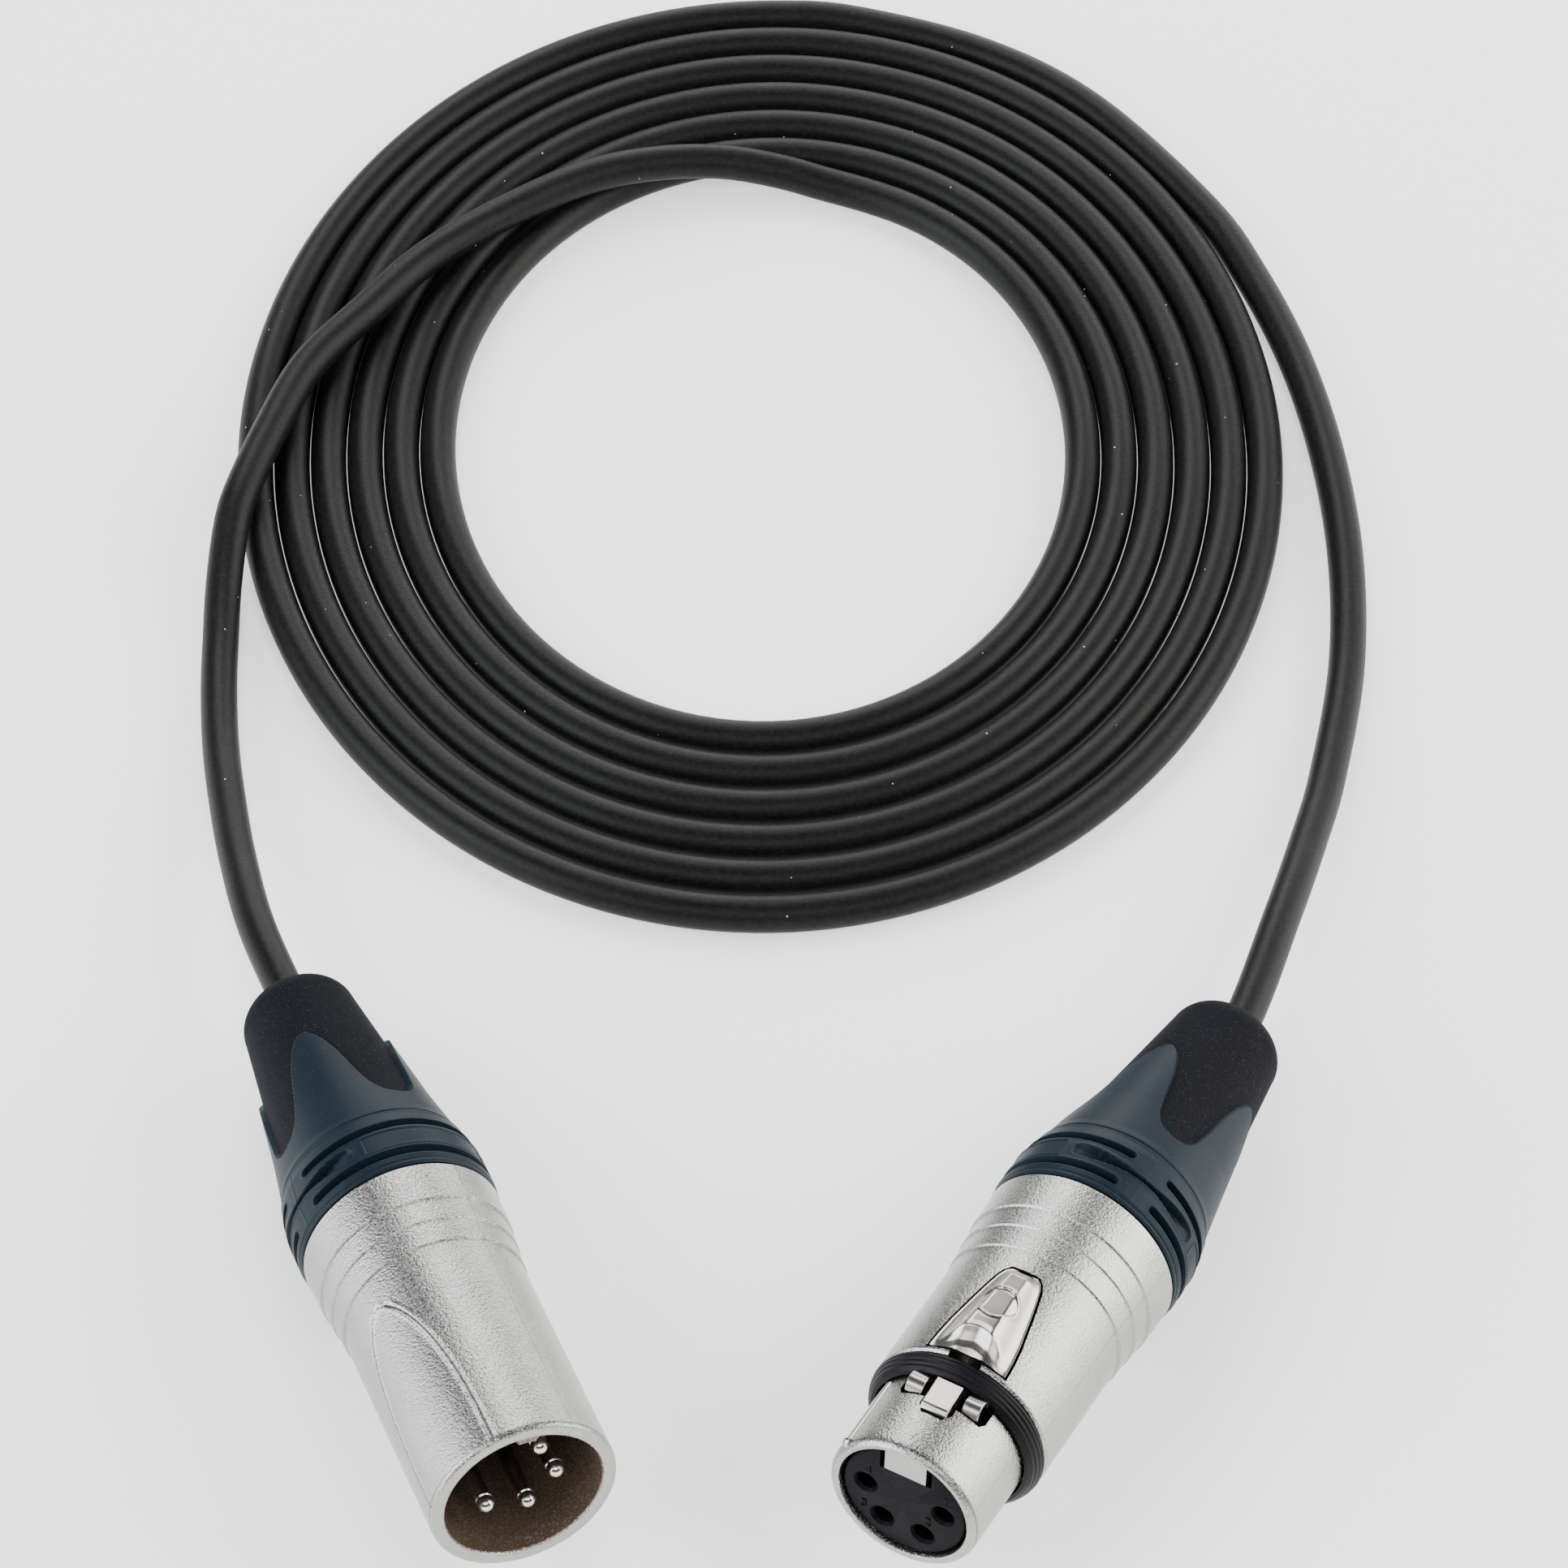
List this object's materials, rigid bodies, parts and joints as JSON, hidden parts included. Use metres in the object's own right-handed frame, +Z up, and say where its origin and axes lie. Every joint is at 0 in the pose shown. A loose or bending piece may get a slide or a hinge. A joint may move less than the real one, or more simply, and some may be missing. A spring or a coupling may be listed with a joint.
{
  "type": "xlr cable coil",
  "caption": "Coiled four-pole XLR microphone cable: a flat oval spiral of thin black cable with a male and a female metal cable connector on its two leads.",
  "frame": {"origin": "under the middle of the whole object, on the surface it lies on", "axes": "+Z up, +Y from the connectors towards the coil, +X from the male to the female connector"},
  "size_m": [0.1268, 0.2301, 0.0223],
  "materials": {
    "cable_jacket": "matt black flexible PVC",
    "boot_rubber": "matt speckled soft rubber",
    "ring_rubber": "matt black rubber",
    "slate_plastic": "slate blue hard plastic",
    "black_plastic": "black moulded plastic",
    "satin_nickel": "sand-blasted satin nickel plate on zinc",
    "bright_nickel": "polished nickel",
    "silver_contact": "polished silver-plated contact",
    "spring_steel": "bare spring wire",
    "core_white": "white core insulation",
    "core_red": "red core insulation",
    "core_blue": "blue core insulation",
    "core_yellow": "yellow core insulation"
  },
  "bodies": {
    "cable": {"cable_coil": "cable_jacket", "cable_lead_female": "cable_jacket", "cable_lead_male": "cable_jacket", "female_ground_spring": "bright_nickel", "female_insert": "black_plastic", "female_ring": "ring_rubber", "female_shell": "satin_nickel", "female_socket_1": "silver_contact", "female_socket_2": "silver_contact", "female_socket_3": "silver_contact", "female_socket_4": "silver_contact", "female_wire_1": "core_white", "female_wire_2": "core_red", "female_wire_3": "core_blue", "female_wire_4": "core_yellow", "latch_spring": "spring_steel", "male_insert": "black_plastic", "male_pin_1": "silver_contact", "male_pin_2": "silver_contact", "male_pin_3": "silver_contact", "male_pin_4": "silver_contact", "male_shell": "satin_nickel", "male_wire_1": "core_white", "male_wire_2": "core_red", "male_wire_3": "core_blue", "male_wire_4": "core_yellow"},
    "female_latch": {"female_latch": "bright_nickel"},
    "male_chuck": {"male_chuck": "black_plastic"},
    "male_bushing": {"male_bushing": "slate_plastic", "male_boot": "boot_rubber"},
    "female_chuck": {"female_chuck": "black_plastic"},
    "female_bushing": {"female_bushing": "slate_plastic", "female_boot": "boot_rubber"}
  },
  "joints": [
    {"name": "female_latch_press", "type": "hinge", "parent": "cable", "child": "female_latch", "pos_m": [0.02272, -0.09018, 0.02004], "axis": [0.8729, -0.4879, 0], "range_deg": [0, 4.2], "stiffness_Nm_per_rad": 0.03, "springref_deg": -8.59, "deforming": ["latch_spring"]},
    {"name": "male_chuck_slide", "type": "slide", "parent": "cable", "child": "male_chuck", "axis": [-0.3658, 0.9287, -0.061], "range_m": [0, 0.00413]},
    {"name": "male_bushing_turn", "type": "hinge", "parent": "male_chuck", "child": "male_bushing", "pos_m": [-0.03805, -0.0775, 0.01066], "axis": [-0.3658, 0.9287, -0.061], "range_deg": [0, 990]},
    {"name": "female_chuck_slide", "type": "slide", "parent": "cable", "child": "female_chuck", "axis": [0.4869, 0.8713, -0.061], "range_m": [0, 0.00413]},
    {"name": "female_bushing_turn", "type": "hinge", "parent": "female_chuck", "child": "female_bushing", "pos_m": [0.02875, -0.0794, 0.01066], "axis": [0.4869, 0.8713, -0.061], "range_deg": [0, 990]}
  ],
  "couplings": [
    {"joint": "male_chuck_slide", "follows": "male_bushing_turn", "m_per_rad": 0.00023873},
    {"joint": "female_chuck_slide", "follows": "female_bushing_turn", "m_per_rad": 0.00023873}
  ]
}
